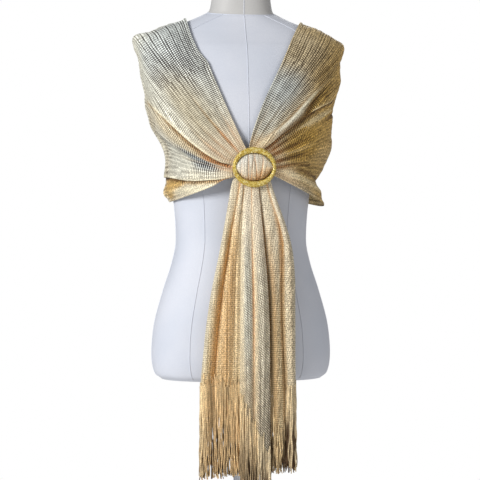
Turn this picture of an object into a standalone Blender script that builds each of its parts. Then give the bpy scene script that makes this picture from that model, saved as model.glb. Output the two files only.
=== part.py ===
"""An evening stole of open metallic knit, worn on a limbless dress form.

The stole goes round the back and over both shoulders. Its ends meet at the front, pass through
an oval slide buckle and hang as two fringed tails. The form stands on a pole and a round base.

The form faces -Y and +Z is up. Sizes in this script are millimetres, and MM turns them into metres.
"""

import math
from collections import namedtuple

import bmesh
import bpy
import numpy as np
from mathutils import Vector
from mathutils.bvhtree import BVHTree

MM = 0.001

# --- Driving sizes -------------------------------------------------------------------------

CLOTH_WALL = 1.5
SEAM_GAP = 0.3
FORM_GAP = 2.4  # least distance from the form to the middle of the cloth
SLACK_GAP = 4.5  # how far plain cloth lies off the form before its folds are added

BASE_RADIUS = 190.0
BASE_THICKNESS = 14.0
BASE_EDGE = 3.0  # bevel round the base plate
BASE_DISHING = 2.0  # rise of the plate's top from its edge to the collar
COLLAR_RADIUS = 30.0
COLLAR_HEIGHT = 48.0
COLLAR_FOOT = 6.0  # how far the collar's foot spreads, and how high it stands
COLLAR_WALL_LOW = 5.0
COLLAR_WALL_TOP = 2.0
COLLAR_EDGE = 4.0
POLE_RADIUS = 14.0
FORM_SEGMENTS = 32
BASE_SEGMENTS = 40
POLE_SEGMENTS = 24
SHARP_ANGLE = 40.0  # degrees between faces that show an edge

BUCKLE_CENTRE = (6.5, -139.0, 1080.0)
BUCKLE_HALF_WIDTH = 38.0
BUCKLE_HALF_HEIGHT = 34.7
RIM_WIDTH_TOP = 9.6
RIM_WIDTH_SIDE = 6.2
RIM_DEPTH = 7.0
BAR_RADIUS = 1.8
BAR_SET_BACK = 1.6
RIM_STEPS = 44
RIM_SIDES = 8
BAR_SEGMENTS = 10

GATHER_HALF_WIDTH = 30.6
GATHER_HALF_HEIGHT = 30.4
GATHER_PLEATS = 5
GATHER_PLEAT_DEPTH = 1.3
GATHER_PLEAT_FADE = 1.5  # exponent by which the pleats die out behind the rim
GATHER_TAPER = 0.82  # the share of its height that the gather loses towards its sides
GATHER_TAPER_POWER = 2.6
GATHER_SIDE_DROP = 0.62  # how flat the gather lies at its sides
GATHER_ROWS = 13
GATHER_COLUMNS = 26
WING_END_HALF_WIDTH = 35.0  # the ellipse behind the rim on which the wings' threads end
WING_END_HALF_HEIGHT = 31.6
WING_END_SET_BACK = 5.6

CHEST_FRONT = 117.0  # how far forward the threads are led over the chest
CREST_Y = 10.0  # the line over shoulders and sides where front turns to back
BACK_REACH = 78.0
BACK_SPREAD = 96.0
BACK_DEPTH = 100.0
BACK_TOP = 1336.0
BACK_HEM = 1040.0
WRAP_FRONT_ROWS = 14
WRAP_BACK_ROWS = 8
WRAP_COLUMNS = 31
ROW_BUNCHING = 1.15  # above 1, the front's rows stand closer together at the buckle
EASING_PASSES = 3
FOLD_GROWTH = 0.25  # the length, as a part of a wing, over which a fold rises or dies out
FOLD_FADING = 0.35

TAIL_Y = -133.0
TAIL_TOP = 1048.8
TAIL_TOP_ARC = 0.0062  # rise of the tails' top edge under the rim, per millimetre squared
FRINGE_WALL = 2.0
HEM_GAP = 0.9  # more than a seam's gap, because a slanted hem's folded walls widen
TAIL_LEVELS = 10
FRINGE_LEVELS = 4
UNDER_STEPS = 3  # columns from one line of a tail to the next
OVER_STEPS = 4

# --- Named tables --------------------------------------------------------------------------

# Level sections of the form, floor to neck. Tilt is the section's forward lean in degrees.
Section = namedtuple("Section", "height half_width front back tilt")
TORSO = (
    Section(700, 148, 88, 98, 0),
    Section(712, 160, 97, 110, 0),
    Section(745, 165, 101, 115, 0),
    Section(800, 160, 101, 112, 0),
    Section(860, 144, 97, 101, 0),
    Section(910, 128, 91, 88, 0),
    Section(955, 120, 88, 80, 0),
    Section(1000, 122, 92, 80, 0),
    Section(1045, 127, 100, 85, 0),
    Section(1085, 131, 110, 91, 0),
    Section(1127, 134, 119, 97, 0),
    Section(1160, 138, 118, 100, 0),
    Section(1200, 149, 111, 102, 0),
    Section(1240, 164, 103, 102, 0),
    Section(1275, 177, 95, 97, 0),
    Section(1298, 184, 86, 91, 0),
    Section(1310, 184, 78, 85, 0),
    Section(1322, 172, 70, 80, 0),
    Section(1333, 150, 63, 75, 0),
    Section(1345, 122, 57, 71, 2),
    Section(1357, 93, 52, 67, 6),
    Section(1366, 73, 49, 64, 10),
    Section(1372, 61, 46, 62, 13),
)
NECK = (
    Section(1372.4, 60.5, 46, 62, 13),
    Section(1380, 57, 45, 60, 12),
    Section(1400, 54, 46, 56, 9),
    Section(1424, 53, 48, 53, 6),
    Section(1432, 50, 46, 50, 6),
    Section(1437, 42, 39, 42, 6),
)
SQUARENESS = 2.35  # exponent of the sections' superellipse

# Threads of a wing, from the inner edge (across 0) to the lower hem (across 1). Each leaves the
# buckle at ring_angle, is led past the chest point and crosses the crest line at the crest point.
# X is measured outwards from the centre. Reach is how far in front of the crest it turns sideways.
Thread = namedtuple("Thread", "across ring_angle chest_x chest_z crest_x crest_z reach")
WING_RIGHT = (
    Thread(0.00, 111, 49, 1200, 102, 1360, 56),
    Thread(0.10, 123, 63, 1187, 134, 1350, 66),
    Thread(0.20, 135, 81, 1178, 168, 1336, 70),
    Thread(0.30, 149, 107, 1152, 197, 1322, 72),
    Thread(0.40, 161, 128, 1124, 188, 1288, 82),
    Thread(0.50, 170, 145, 1099, 179, 1244, 90),
    Thread(0.60, 178, 142, 1094, 176, 1198, 92),
    Thread(0.70, 186, 121, 1095, 160, 1156, 90),
    Thread(0.78, 192, 103, 1088, 140, 1124, 88),
    Thread(0.86, 198, 95, 1071, 138, 1091, 88),
    Thread(0.93, 204, 91, 1057, 138, 1053, 84),
    Thread(1.00, 210, 86, 1037, 130, 1023, 78),
)
WING_LEFT = (
    Thread(0.00, 106, 10, 1193, 109, 1352, 58),
    Thread(0.10, 99, 26, 1185, 137, 1341, 62),
    Thread(0.20, 90, 45, 1180, 169, 1328, 66),
    Thread(0.28, 80, 62, 1176, 196, 1317, 74),
    Thread(0.37, 69, 83, 1175, 188, 1287, 84),
    Thread(0.46, 59, 97, 1169, 186, 1245, 92),
    Thread(0.55, 46, 94, 1150, 175, 1208, 96),
    Thread(0.62, 35, 97, 1134, 171, 1182, 98),
    Thread(0.70, 22, 99, 1117, 169, 1153, 98),
    Thread(0.78, 9, 96, 1101, 168, 1120, 96),
    Thread(0.86, -4, 89, 1083, 154, 1086, 90),
    Thread(0.93, -14, 85, 1062, 140, 1056, 84),
    Thread(1.00, -24, 87, 1044, 155, 1016, 80),
)

# Folds that run along the threads. Across is the fold's line and half_width its reach, as parts of
# the stole's width. Height is above the plain cloth, below it where negative. It grows after
# `begins` and is gone at `ends`: 0 is the buckle, 1 the crest, 2 the centre back. Lean moves the
# top towards the inner edge (-1) or the hem (1), so that one side drops steeply.
Fold = namedtuple("Fold", "across half_width height begins ends lean")
FOLDS_RIGHT = (
    Fold(0.17, 0.05, -3.0, 0.00, 0.80, 0.0),
    Fold(0.30, 0.08, 4.0, 0.05, 1.10, 0.2),
    Fold(0.44, 0.09, 11.0, 0.02, 1.20, 0.7),
    Fold(0.57, 0.06, -3.5, 0.05, 1.20, 0.0),
    Fold(0.67, 0.07, 6.0, 0.30, 1.20, 0.5),
    Fold(0.80, 0.06, -3.0, 0.05, 1.10, 0.0),
    Fold(0.91, 0.05, -5.0, 0.10, 1.20, 0.0),
    Fold(0.97, 0.05, 5.0, 0.10, 1.20, 0.0),
)
FOLDS_LEFT = (
    Fold(0.12, 0.08, 3.0, 0.10, 0.90, 0.0),
    Fold(0.38, 0.07, 12.0, 0.03, 1.10, 0.6),
    Fold(0.49, 0.05, -4.0, 0.05, 1.10, 0.0),
    Fold(0.58, 0.05, 5.0, 0.10, 1.00, 0.3),
    Fold(0.70, 0.08, 4.0, 0.15, 1.20, 0.0),
    Fold(0.82, 0.05, -4.0, 0.05, 0.90, 0.0),
    Fold(0.92, 0.04, -4.0, 0.20, 1.20, 0.0),
    Fold(0.97, 0.04, 5.0, 0.10, 1.20, 0.0),
)
FOLDS_BACK = (
    Fold(0.16, 0.09, 8.0, 1.05, 3.00, 0.4),
    Fold(0.36, 0.10, 11.0, 1.15, 3.00, 0.3),
    Fold(0.56, 0.10, 10.0, 1.10, 3.00, 0.4),
    Fold(0.76, 0.09, 9.0, 1.20, 3.00, 0.3),
    Fold(0.94, 0.06, 5.0, 1.10, 3.00, 0.0),
)

# Lines down a tail, ridges and troughs in turn, from the wearer's right edge to the left one.
# The x columns are places at the tail's four stations, the front columns how far the cloth
# stands forward of the tails' plane at the buckle, the second station and the hem.
STATIONS = (1048, 940, 850, 675)
Line = namedtuple("Line", "x_top x_second x_third x_hem front_top front_second front_hem")
TAIL_UNDER = (
    Line(-33, -52, -70, -90, -5, -8, -6),
    Line(-29, -48, -65, -84, -3, 4, 5),
    Line(-18, -37, -50, -66, -4, -5, -5),
    Line(-14, -29, -38, -50, -3, -1, 1),
    Line(-10, -22, -27, -32, -4, -4, -4),
    Line(-5, -13, -16, -18, -4, -3, -3),
    Line(3, 5, 6, 7, -5, -11, -12),
    Line(14, 25, 32, 34, -4, -9, -10),
    Line(22, 38, 44, 48, -3, 1, 1),
    Line(31, 57, 57, 64, -4, -6, -9),
    Line(35, 67, 70, 74, -3, 3, 4),
    Line(39, 75, 81, 81, -5, -8, -5),
)
TAIL_OVER = (
    Line(-10, -17, -18, -19, 0.4, 2, 3),
    Line(-4, -8, -8, -8, 0.8, 9, 10),
    Line(2, 3, 5, 6, 0.4, 4, 4),
    Line(8, 14, 19, 21, 0.8, 10, 11),
    Line(14, 25, 32, 35, 0.4, 1, 2),
)
HEM_UNDER = (698.0, 694.0)  # heights of the hem at the two edges
HEM_OVER = (672.0, 572.0)
FRINGE_TIPS_UNDER = (540.0, 552.0)
FRINGE_TIPS_OVER = (524.0, 470.0)

# --- Materials -----------------------------------------------------------------------------

Finish = namedtuple("Finish", "colour roughness metallic")
FINISHES = {
    "form_white": Finish((0.74, 0.74, 0.80), 0.60, 0.0),
    "pole_steel": Finish((0.55, 0.55, 0.57), 0.30, 1.0),
    "base_white": Finish((0.70, 0.70, 0.72), 0.45, 0.0),
    "buckle_gold": Finish((0.80, 0.62, 0.14), 0.35, 0.9),
    "stole_gold": Finish((0.72, 0.58, 0.34), 0.45, 0.4),
    "fringe_gold": Finish((0.76, 0.58, 0.32), 0.50, 0.3),
}


def material(finish_name):
    """The named finish as a material, made on first use."""
    if finish_name in bpy.data.materials:
        return bpy.data.materials[finish_name]
    finish = FINISHES[finish_name]
    made = bpy.data.materials.new(finish_name)
    made.use_nodes = True
    shader = made.node_tree.nodes["Principled BSDF"]
    shader.inputs["Base Color"].default_value = (*finish.colour, 1.0)
    shader.inputs["Roughness"].default_value = finish.roughness
    shader.inputs["Metallic"].default_value = finish.metallic
    made.diffuse_color = (*finish.colour, 1.0)
    return made


# --- Tools ---------------------------------------------------------------------------------


def clear_scene():
    for obj in list(bpy.data.objects):
        bpy.data.objects.remove(obj, do_unlink=True)


def read_table(rows, at):
    """The rows' columns at each value of the first one, on smooth curves through the rows."""
    table = np.array(rows, float)
    keys, values = table[:, 0], table[:, 1:]
    at = np.clip(np.asarray(at, float), keys[0], keys[-1])
    step = np.diff(keys)[:, None]
    rise = np.diff(values, axis=0) / step
    slope = np.vstack([rise[:1], (rise[1:] * step[:-1] + rise[:-1] * step[1:])
                       / (step[1:] + step[:-1]), rise[-1:]])
    # A slope is flat where the column turns, so that a curve never overshoots its rows.
    turns = np.vstack([np.zeros((1, values.shape[1])), rise[1:] * rise[:-1] <= 0,
                       np.zeros((1, values.shape[1]))]).astype(bool)
    slope[turns] = 0.0
    cell = np.clip(np.searchsorted(keys, at, side="right") - 1, 0, len(keys) - 2)
    width = step[cell]
    t = ((at - keys[cell]) / width[:, 0])[:, None]
    start, end = values[cell], values[cell + 1]
    tangents = slope[cell] * width, slope[cell + 1] * width
    return ((2 * t**3 - 3 * t**2 + 1) * start + (t**3 - 2 * t**2 + t) * tangents[0]
            + (3 * t**2 - 2 * t**3) * end + (t**3 - t**2) * tangents[1])


def new_object(name, points, faces, finish_name):
    """A mesh object from points in millimetres."""
    mesh = bpy.data.meshes.new(name)
    mesh.from_pydata([tuple(MM * value for value in point) for point in points], [], faces)
    mesh.validate()
    obj = bpy.data.objects.new(name, mesh)
    bpy.context.scene.collection.objects.link(obj)
    obj.data.materials.append(material(finish_name))
    facing = bmesh.new()
    facing.from_mesh(mesh)
    bmesh.ops.recalc_face_normals(facing, faces=facing.faces)
    facing.to_mesh(mesh)
    facing.free()
    mesh.shade_smooth()
    mesh.set_sharp_from_angle(angle=math.radians(SHARP_ANGLE))
    return obj


def lofted(name, rings, finish_name):
    """A closed solid through level rings of equally many points, with flat ends."""
    count = len(rings[0])
    points = [point for ring in rings for point in ring]
    faces = []
    for level in range(len(rings) - 1):
        for i in range(count):
            j = (i + 1) % count
            faces.append((level * count + i, level * count + j,
                          (level + 1) * count + j, (level + 1) * count + i))
    faces.append(tuple(reversed(range(count))))
    faces.append(tuple(range((len(rings) - 1) * count, len(rings) * count)))
    return new_object(name, points, faces, finish_name)


def grid_normals(grid):
    """Unit normals of a grid of points, from its neighbours along and across."""
    along = np.gradient(grid, axis=0)
    across = np.gradient(grid, axis=1)
    normals = np.cross(along, across)
    return normals / np.maximum(np.linalg.norm(normals, axis=2, keepdims=True), 1e-9)


def walled(name, grid, thickness, finish_name, normals=None):
    """A closed wall of even thickness on both sides of a grid of points."""
    rows, columns = grid.shape[:2]
    offset = (grid_normals(grid) if normals is None else normals) * thickness / 2
    points = np.concatenate([(grid + offset).reshape(-1, 3), (grid - offset).reshape(-1, 3)])
    under = rows * columns
    faces = []
    for i in range(rows - 1):
        for j in range(columns - 1):
            a, b = i * columns + j, (i + 1) * columns + j
            faces.append((a, b, b + 1, a + 1))
            faces.append((under + a, under + a + 1, under + b + 1, under + b))
    border = ([(i * columns, (i + 1) * columns) for i in range(rows - 1)]
              + [((rows - 1) * columns + j, (rows - 1) * columns + j + 1) for j in range(columns - 1)]
              + [((i + 1) * columns - 1 + columns, (i + 1) * columns - 1)
                 for i in reversed(range(rows - 1))]
              + [(j + 1, j) for j in reversed(range(columns - 1))])
    for a, b in border:
        faces.append((b, a, under + a, under + b))
    return new_object(name, points, faces, finish_name)


# --- Dress form ----------------------------------------------------------------------------


def section_ring(section):
    """A superellipse with its own front and back depths, leaning forward by its tilt."""
    ring = []
    for i in range(FORM_SEGMENTS):
        angle = 2 * math.pi * i / FORM_SEGMENTS
        side, depth = math.cos(angle), math.sin(angle)
        x = section.half_width * math.copysign(abs(side) ** (2 / SQUARENESS), side)
        reach = section.back if depth > 0 else section.front
        y = reach * math.copysign(abs(depth) ** (2 / SQUARENESS), depth)
        ring.append((x, y, section.height + y * math.tan(math.radians(section.tilt))))
    return ring


def form_torso():
    return lofted("form_torso", [section_ring(section) for section in TORSO], "form_white")


def form_neck():
    return lofted("form_neck", [section_ring(section) for section in NECK], "form_white")


def turned(name, profile, finish_name, segments):
    """A closed solid turned about the z axis from (radius, height) pairs, bottom to top."""
    rings = [[(radius * math.cos(2 * math.pi * i / segments),
               radius * math.sin(2 * math.pi * i / segments), height) for i in range(segments)]
             for radius, height in profile]
    return lofted(name, rings, finish_name)


def form_stand():
    collar_bottom = BASE_THICKNESS + BASE_DISHING
    collar_top = BASE_THICKNESS + COLLAR_HEIGHT
    turned("form_base", (
        (BASE_RADIUS - BASE_EDGE, 0),
        (BASE_RADIUS, BASE_EDGE),
        (BASE_RADIUS, BASE_THICKNESS - BASE_EDGE),
        (BASE_RADIUS - BASE_EDGE, BASE_THICKNESS),
        (COLLAR_RADIUS + COLLAR_FOOT, collar_bottom),
        (COLLAR_RADIUS, collar_bottom + COLLAR_FOOT),
        (POLE_RADIUS + COLLAR_WALL_LOW, collar_top - COLLAR_EDGE),
        (POLE_RADIUS + COLLAR_WALL_TOP, collar_top),
    ), "base_white", BASE_SEGMENTS)
    turned("form_pole", (
        (POLE_RADIUS, collar_top + SEAM_GAP),
        (POLE_RADIUS, TORSO[0].height - SEAM_GAP),
    ), "pole_steel", POLE_SEGMENTS)


# --- Buckle --------------------------------------------------------------------------------


def buckle():
    """An oval rim of rounded section, wider above and below, joined with the bar across it."""
    points, faces = [], []
    for i in range(RIM_STEPS):
        angle = 2 * math.pi * i / RIM_STEPS
        width = RIM_WIDTH_SIDE + (RIM_WIDTH_TOP - RIM_WIDTH_SIDE) * math.sin(angle) ** 2
        for j in range(RIM_SIDES):
            turn = 2 * math.pi * (j + 0.5) / RIM_SIDES
            inset = width / 2 * (1 - math.cos(turn))
            points.append((BUCKLE_CENTRE[0] + (BUCKLE_HALF_WIDTH - inset) * math.cos(angle),
                           BUCKLE_CENTRE[1] + RIM_DEPTH / 2 * math.sin(turn),
                           BUCKLE_CENTRE[2] + (BUCKLE_HALF_HEIGHT - inset) * math.sin(angle)))
            a, b = i * RIM_SIDES + j, i * RIM_SIDES + (j + 1) % RIM_SIDES
            c, d = ((point + RIM_SIDES) % (RIM_STEPS * RIM_SIDES) for point in (a, b))
            faces.append((a, b, d, c))
    rim = new_object("buckle", points, faces, "buckle_gold")
    bar_half = BUCKLE_HALF_WIDTH - RIM_WIDTH_SIDE / 2
    bar_y = BUCKLE_CENTRE[1] + BAR_SET_BACK
    turns = [2 * math.pi * i / BAR_SEGMENTS for i in range(BAR_SEGMENTS)]
    ends = [[(BUCKLE_CENTRE[0] + x, bar_y + BAR_RADIUS * math.cos(turn),
              BUCKLE_CENTRE[2] + BAR_RADIUS * math.sin(turn)) for turn in turns]
            for x in (-bar_half, bar_half)]
    bar = lofted("buckle_bar_guide", ends, "buckle_gold")
    bar.hide_render = True
    bar.display_type = "WIRE"
    join = rim.modifiers.new("bar", "BOOLEAN")
    join.operation = "UNION"
    join.object = bar
    return rim


# --- Stole round the form ------------------------------------------------------------------


def bezier(points, t):
    """Points of a cubic curve, whose four control points are arrays of equal shape."""
    return ((1 - t)**3 * points[0] + 3 * (1 - t)**2 * t * points[1]
            + 3 * (1 - t) * t**2 * points[2] + t**3 * points[3])


def half_wrap(threads, side, along, across):
    """Plain cloth from the buckle (along 0) over the crest (1) to the centre back (2)."""
    ring_angle, chest_x, chest_z, crest_x, crest_z, reach = read_table(threads, across).T
    ring_angle = np.radians(ring_angle)
    ring = np.stack([BUCKLE_CENTRE[0] + WING_END_HALF_WIDTH * np.cos(ring_angle),
                     np.full_like(ring_angle, BUCKLE_CENTRE[1] + WING_END_SET_BACK),
                     BUCKLE_CENTRE[2] + WING_END_HALF_HEIGHT * np.sin(ring_angle)], axis=1)
    chest = np.stack([side * chest_x, np.full_like(chest_x, -CHEST_FRONT), chest_z], axis=1)
    crest = np.stack([side * crest_x, np.full_like(crest_x, CREST_Y), crest_z], axis=1)
    backward = np.array([0.0, 1.0, 0.0])
    back_z = BACK_TOP + (BACK_HEM - BACK_TOP) * across
    middle = np.stack([np.zeros_like(back_z), np.full_like(back_z, BACK_DEPTH), back_z], axis=1)
    outward = np.array([side * BACK_SPREAD, 0.0, 0.0])
    front = [ring, chest, crest - reach[:, None] * backward, crest]
    back = [crest, crest + BACK_REACH * backward, middle + outward, middle]
    rows = [bezier(front, t) if t <= 1 else bezier(back, t - 1) for t in along]
    return np.array(rows)


def fold_height(folds, along, across):
    """The folds' heights over a grid of places along and across the cloth."""
    place = along[:, None]
    total = np.zeros((len(along), len(across)))
    for fold in folds:
        off = (across[None, :] - fold.across) / fold.half_width
        off = np.where(off < fold.lean, (off - fold.lean) / (1 + fold.lean),
                       (off - fold.lean) / (1 - fold.lean))
        bump = 0.5 + 0.5 * np.cos(np.pi * np.clip(off, -1, 1))
        grow = np.clip((place - fold.begins) / FOLD_GROWTH, 0, 1)
        fade = np.clip((fold.ends - place) / FOLD_FADING, 0, 1)
        total += fold.height * bump * grow * grow * (3 - 2 * grow) * fade * fade * (3 - 2 * fade)
    return total


def off_the_form(grid, form_tree, gap):
    """The grid with each point that is nearer to the form than the gap moved out to it."""
    moved = grid.copy()
    for index in np.ndindex(grid.shape[:2]):
        point = Vector(grid[index])
        nearest, normal, _, _ = form_tree.find_nearest(point)
        if (point - nearest).dot(normal) < gap:
            moved[index] = nearest + normal * gap
    return moved


def eased_off_the_form(grid, form_tree):
    """Plain cloth lifted off the form by SLACK_GAP, with the lift spread along and across it."""
    lift = off_the_form(grid, form_tree, SLACK_GAP) - grid
    for _ in range(EASING_PASSES):
        lift[1:-1] = 0.5 * lift[1:-1] + 0.25 * (lift[:-2] + lift[2:])
        lift[:, 1:-1] = 0.5 * lift[:, 1:-1] + 0.25 * (lift[:, :-2] + lift[:, 2:])
    return off_the_form(grid + lift, form_tree, SLACK_GAP)


def wrap_grid(form_tree, along, across):
    """The whole wrap, from the right wing's end at the buckle round the back to the left one's."""
    right = half_wrap(WING_RIGHT, -1, along, across)
    left = half_wrap(WING_LEFT, 1, along, across)
    plain = np.concatenate([right, left[-2::-1]])
    plain = eased_off_the_form(plain, form_tree)
    height_right = fold_height(FOLDS_RIGHT + FOLDS_BACK, along, across)
    height_left = fold_height(FOLDS_LEFT + FOLDS_BACK, along, across)
    height = np.concatenate([height_right, height_left[-2::-1]])
    folded = plain + grid_normals(plain) * height[:, :, None]
    return off_the_form(folded, form_tree, FORM_GAP)


def drawn_back(grid, row, towards):
    """The grid with one row moved half a seam's gap towards another one."""
    step = grid[towards] - grid[row]
    moved = grid.copy()
    moved[row] += step * (SEAM_GAP / 2) / np.linalg.norm(step, axis=1, keepdims=True)
    return moved


def stole_round_the_form(form_tree):
    along = np.concatenate([1 - (1 - np.linspace(0, 1, WRAP_FRONT_ROWS)) ** ROW_BUNCHING,
                            1 + np.linspace(0, 1, WRAP_BACK_ROWS)[1:]])
    grid = wrap_grid(form_tree, along, np.linspace(0, 1, WRAP_COLUMNS))
    normals = grid_normals(grid)
    crest = WRAP_FRONT_ROWS - 1
    right = slice(0, crest + 1)
    back = slice(crest, len(grid) - crest)
    left = slice(len(grid) - crest - 1, len(grid))
    middle = drawn_back(drawn_back(grid[back], 0, 1), -1, -2)
    walled("stole_wing_right", drawn_back(grid[right], -1, -2), CLOTH_WALL, "stole_gold", normals[right])
    walled("stole_back", middle, CLOTH_WALL, "stole_gold", normals[back])
    walled("stole_wing_left", drawn_back(grid[left], 0, 1), CLOTH_WALL, "stole_gold", normals[left])


# --- Gather, tails and fringe --------------------------------------------------------------

# The gathered cloth's path through the buckle, top to bottom: drop is from 1 behind the upper
# rim to -1 behind the lower one, and front is how far it stands out from behind the rim.
GatherRow = namedtuple("GatherRow", "place drop front")
GATHER = (
    GatherRow(0.00, 1.00, 0.0),
    GatherRow(0.14, 0.80, 0.2),
    GatherRow(0.24, 0.69, 4.5),
    GatherRow(0.34, 0.56, 10.0),
    GatherRow(0.50, 0.06, 14.5),
    GatherRow(0.66, -0.55, 11.0),
    GatherRow(0.76, -0.69, 4.5),
    GatherRow(0.86, -0.80, 0.2),
    GatherRow(1.00, -1.00, 0.0),
)


def stole_gather():
    drop, front = read_table(GATHER, np.linspace(0, 1, GATHER_ROWS)).T
    spread = np.linspace(-1, 1, GATHER_COLUMNS)
    half_height = GATHER_HALF_HEIGHT * (1 - GATHER_TAPER * np.abs(spread) ** GATHER_TAPER_POWER)
    x = BUCKLE_CENTRE[0] + GATHER_HALF_WIDTH * spread
    pleat = GATHER_PLEAT_DEPTH * np.cos(np.pi * GATHER_PLEATS * spread)
    lens = np.sqrt(1 - GATHER_SIDE_DROP * spread**2)
    y = BUCKLE_CENTRE[1] + WING_END_SET_BACK - front[:, None] * lens
    y = y - pleat * np.clip(front / front.max(), 0, 1)[:, None] ** GATHER_PLEAT_FADE * lens
    z = BUCKLE_CENTRE[2] + drop[:, None] * half_height
    grid = np.stack([np.broadcast_to(x, y.shape), y, z], axis=2)
    walled("stole_gather", grid, CLOTH_WALL, "stole_gold")


def tail_profile(lines, height, steps):
    """A tail's level section: x and front at `steps` places between each line and the next."""
    table = np.array(lines, float)
    stations = np.array(STATIONS, float)[::-1]
    x_rows = np.column_stack([stations, table[:, 3::-1].T])
    front_rows = np.column_stack([stations[[0, 2, 3]], table[:, 6:3:-1].T])
    x_lines = read_table(x_rows, [height])[0]
    front_lines = read_table(front_rows, [height])[0]
    part = np.arange((len(lines) - 1) * steps + 1) / steps
    cell = np.minimum(part.astype(int), len(lines) - 2)
    t = part - cell
    ease = 0.5 - 0.5 * np.cos(np.pi * t)
    x = x_lines[cell] + (x_lines[cell + 1] - x_lines[cell]) * t
    return x, front_lines[cell] + (front_lines[cell + 1] - front_lines[cell]) * ease


def hanging(lines, from_height, to_height, levels, steps):
    """A grid of hanging cloth between two edges, each given by a height at every column."""
    rows = []
    for part in np.linspace(0, 1, levels):
        heights = from_height + (to_height - from_height) * part
        profiles = [tail_profile(lines, height, steps) for height in heights]
        x = np.array([profile[0][i] for i, profile in enumerate(profiles)])
        front = np.array([profile[1][i] for i, profile in enumerate(profiles)])
        rows.append(np.stack([x, TAIL_Y - front, heights], axis=1))
    return np.array(rows)


def tail_with_fringe(tail_name, fringe_name, lines, hem, tips, steps):
    columns = (len(lines) - 1) * steps + 1
    spread = np.linspace(0, 1, columns)
    top_x = tail_profile(lines, TAIL_TOP, steps)[0]
    top = TAIL_TOP + TAIL_TOP_ARC * (top_x - BUCKLE_CENTRE[0]) ** 2
    hem_heights = hem[0] + (hem[1] - hem[0]) * spread
    tip_heights = tips[0] + (tips[1] - tips[0]) * spread
    walled(tail_name, hanging(lines, top, hem_heights, TAIL_LEVELS, steps), CLOTH_WALL, "stole_gold")
    walled(fringe_name, hanging(lines, hem_heights - HEM_GAP, tip_heights, FRINGE_LEVELS, steps),
           FRINGE_WALL, "fringe_gold")


def main():
    clear_scene()
    torso = form_torso()
    form_neck()
    form_stand()
    buckle()
    form_tree = BVHTree.FromPolygons([vertex.co / MM for vertex in torso.data.vertices],
                                     [tuple(face.vertices) for face in torso.data.polygons])
    stole_round_the_form(form_tree)
    stole_gather()
    tail_with_fringe("tail_under", "fringe_under", TAIL_UNDER, HEM_UNDER, FRINGE_TIPS_UNDER,
                     UNDER_STEPS)
    tail_with_fringe("tail_over", "fringe_over", TAIL_OVER, HEM_OVER, FRINGE_TIPS_OVER, OVER_STEPS)


main()
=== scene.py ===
import math

import bpy
import numpy as np
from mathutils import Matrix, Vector
from mathutils.bvhtree import BVHTree


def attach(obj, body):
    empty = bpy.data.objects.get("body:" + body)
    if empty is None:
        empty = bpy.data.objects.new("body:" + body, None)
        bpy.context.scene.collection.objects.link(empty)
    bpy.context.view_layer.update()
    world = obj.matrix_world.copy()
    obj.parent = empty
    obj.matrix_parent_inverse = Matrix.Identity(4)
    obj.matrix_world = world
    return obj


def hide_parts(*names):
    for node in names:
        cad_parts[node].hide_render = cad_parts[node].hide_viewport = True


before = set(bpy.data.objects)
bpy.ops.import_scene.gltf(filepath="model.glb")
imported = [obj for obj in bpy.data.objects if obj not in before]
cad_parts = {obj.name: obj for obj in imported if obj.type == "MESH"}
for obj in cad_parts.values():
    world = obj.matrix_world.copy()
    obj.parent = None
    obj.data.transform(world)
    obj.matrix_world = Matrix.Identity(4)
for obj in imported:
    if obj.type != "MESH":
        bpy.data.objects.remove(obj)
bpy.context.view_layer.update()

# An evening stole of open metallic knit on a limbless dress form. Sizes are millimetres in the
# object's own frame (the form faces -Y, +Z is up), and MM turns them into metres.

MM = 0.001
RNG_SEED = 11

# --- Camera ---

CAMERA_YAW = math.radians(7)
CAMERA_DISTANCE = 2400
CAMERA_HEIGHT = 953
CAMERA_ASIDE = -1.85
FRAME_WIDTH = 888
SENSOR = 36

# --- Sizes, as in the frame's own source ---

FORM_GAP = 2
SLACK_GAP = 4.5

BUCKLE_X, BUCKLE_Y, BUCKLE_Z = 6.5, -139, 1080
BUCKLE_HALF_WIDTH = 38
BUCKLE_HALF_HEIGHT = 34.7
RIM_WIDTH_TOP = 9.6
RIM_WIDTH_SIDE = 6.2
RIM_DEPTH = 7
BAR_RADIUS = 1.8
BAR_SET_BACK = 1.6
GRAINS = 2600

GATHER_HALF_WIDTH = 31.6
GATHER_HALF_HEIGHT = 30.4
WING_END_HALF_WIDTH = 35
WING_END_HALF_HEIGHT = 31.6
WING_END_SET_BACK = 5.6

CHEST_FRONT = 117
CREST_Y = 10
BACK_REACH = 78
BACK_SPREAD = 96
BACK_DEPTH = 100
BACK_TOP = 1336
BACK_HEM = 1040

TAIL_Y = -133
TAIL_TOP = 1048.8
TAIL_TOP_ARC = 0.0062
# Beyond this far from the buckle's middle, the tail's top rises behind the rim, drawn in as it goes.
TAIL_TUCK_FROM = 20
TAIL_TUCK = 0.42
TAIL_DRAW_IN = 0.008
TAIL_LEVELS = 150
RIDGE_SOFT = 0.35
RIDGE_POWER = 0.6

CLOTH_WIDTH = 440
WRAP_ROWS, WRAP_COLUMNS = 381, 197
# How far the right wing's inner edge steps out over the chest, at each turn.
EDGE_STEP = ((.48, 0), (.56, 9.5), (.64, 10.8), (.7, 8.6), (.78, 4.6), (.87, 1.6), (.95, 0))

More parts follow.
